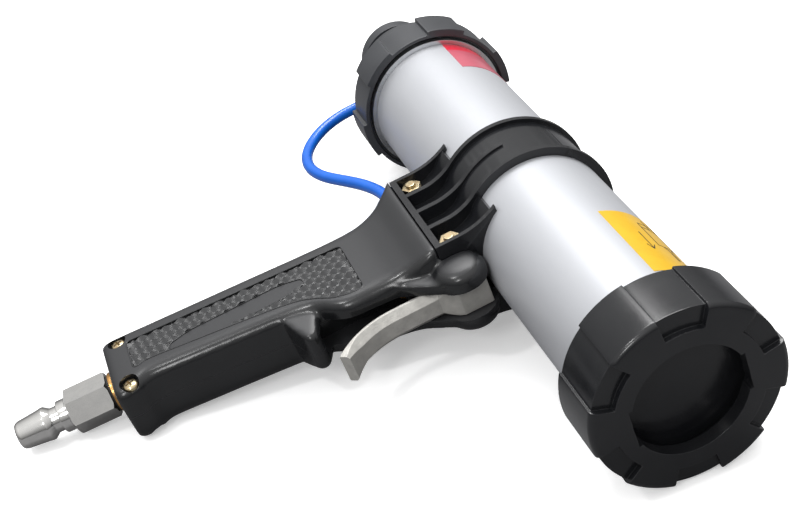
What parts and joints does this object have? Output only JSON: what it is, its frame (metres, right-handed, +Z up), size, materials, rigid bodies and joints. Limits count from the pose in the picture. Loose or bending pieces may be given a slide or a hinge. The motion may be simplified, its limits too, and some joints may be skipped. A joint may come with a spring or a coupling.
{
  "type": "pneumatic caulking gun",
  "caption": "Pneumatic caulking gun: tubular barrel with a screw cap and round nozzle opening, pistol grip, lever trigger, air plug, and a hose to the regulator on the rear cap.",
  "frame": {"origin": "bottom centre of the bounding box, on the surface that the gun lies on", "axes": "+X along the barrel towards the nozzle opening; +Z up, the gun lying on its left side; +Y towards the top of the gun, so the grip points to -Y and tilts down by the lie angle until its foot rests on the surface"},
  "size_m": [0.296, 0.2468, 0.0698],
  "materials": {
    "anodised_barrel": "satin anodised",
    "turned_aluminium": "turned, satin",
    "cast_aluminium": "sand-cast, matt",
    "yellow_label": "printed film",
    "red_label": "printed film",
    "black_gloss_nylon": "moulded, gloss",
    "grey_cap_nylon": "moulded, satin",
    "grip_plastic": "moulded, satin with glossy edges",
    "black_rubber": "matt",
    "zinc_steel": "yellow zinc plated",
    "spring_steel": "bright drawn",
    "brass": "turned brass",
    "bright_chrome": "chrome plated",
    "blue_polyurethane": "smooth, slightly translucent"
  },
  "bodies": {
    "gun": {"barrel_tube": "anodised_barrel", "front_collar": "turned_aluminium", "rear_collar": "turned_aluminium", "front_label": "yellow_label", "rear_label": "red_label", "rear_cap": "grey_cap_nylon", "rear_gasket": "black_rubber", "regulator_body": "grey_cap_nylon", "regulator_locknut": "brass", "regulator_spring": "spring_steel", "rear_hose_fitting": "brass", "clamp_right": "black_gloss_nylon", "clamp_left": "black_gloss_nylon", "clamp_bolts": "zinc_steel", "clamp_nuts": "zinc_steel", "grip_right_shell": "grip_plastic", "grip_left_shell": "grip_plastic", "grip_screws": "zinc_steel", "trigger_pin": "spring_steel", "valve_body": "turned_aluminium", "valve_gland": "brass", "valve_seals": "black_rubber", "valve_spring": "spring_steel", "outlet_elbow": "brass", "supply_pipe": "turned_aluminium", "inlet_nipple": "brass", "plug_washer": "black_rubber", "air_plug": "bright_chrome", "air_hose": "blue_polyurethane"},
    "cap_carrier": {"thrust_ring": "black_gloss_nylon"},
    "front_cap": {"front_cap": "black_gloss_nylon"},
    "piston": {"piston": "black_gloss_nylon", "piston_seal": "black_rubber"},
    "trigger": {"trigger": "cast_aluminium"},
    "valve_spool": {"valve_spool": "spring_steel"},
    "regulator_knob": {"regulator_knob": "grey_cap_nylon"},
    "regulator_needle": {"regulator_needle": "spring_steel"}
  },
  "joints": [
    {"name": "front_cap_travel", "type": "slide", "parent": "gun", "child": "cap_carrier", "axis": [1, 0, 0], "range_m": [0, 0.012]},
    {"name": "front_cap_turn", "type": "hinge", "parent": "cap_carrier", "child": "front_cap", "pos_m": [0.143, 0.08811, 0.035], "axis": [-1, 0, 0], "range_deg": [0, 1080]},
    {"name": "piston_travel", "type": "slide", "parent": "gun", "child": "piston", "axis": [-1, 0, 0], "range_m": [0, 0.19]},
    {"name": "trigger_pull", "type": "hinge", "parent": "gun", "child": "trigger", "pos_m": [0.045, 0.04993, 0.03002], "axis": [0, 0.1293, -0.9916], "range_deg": [0, 8], "stiffness_Nm_per_rad": 2, "springref_deg": -5.73},
    {"name": "spool_travel", "type": "slide", "parent": "gun", "child": "valve_spool", "axis": [-1, 0, 0], "range_m": [0, 0.0027], "deforming": ["valve_spring"]},
    {"name": "knob_turn", "type": "hinge", "parent": "gun", "child": "regulator_knob", "pos_m": [-0.128, 0.08811, 0.035], "axis": [-1, 0, 0], "range_deg": [-360, 360]},
    {"name": "needle_travel", "type": "slide", "parent": "gun", "child": "regulator_needle", "axis": [1, 0, 0], "range_m": [-0.0013, 0.0013], "deforming": ["regulator_spring"]}
  ],
  "couplings": [
    {"joint": "front_cap_turn", "follows": "front_cap_travel", "rad_per_m": 1570.8},
    {"joint": "spool_travel", "follows": "trigger_pull", "m_per_rad": 0.0175},
    {"joint": "needle_travel", "follows": "knob_turn", "m_per_rad": 0.0001989}
  ]
}
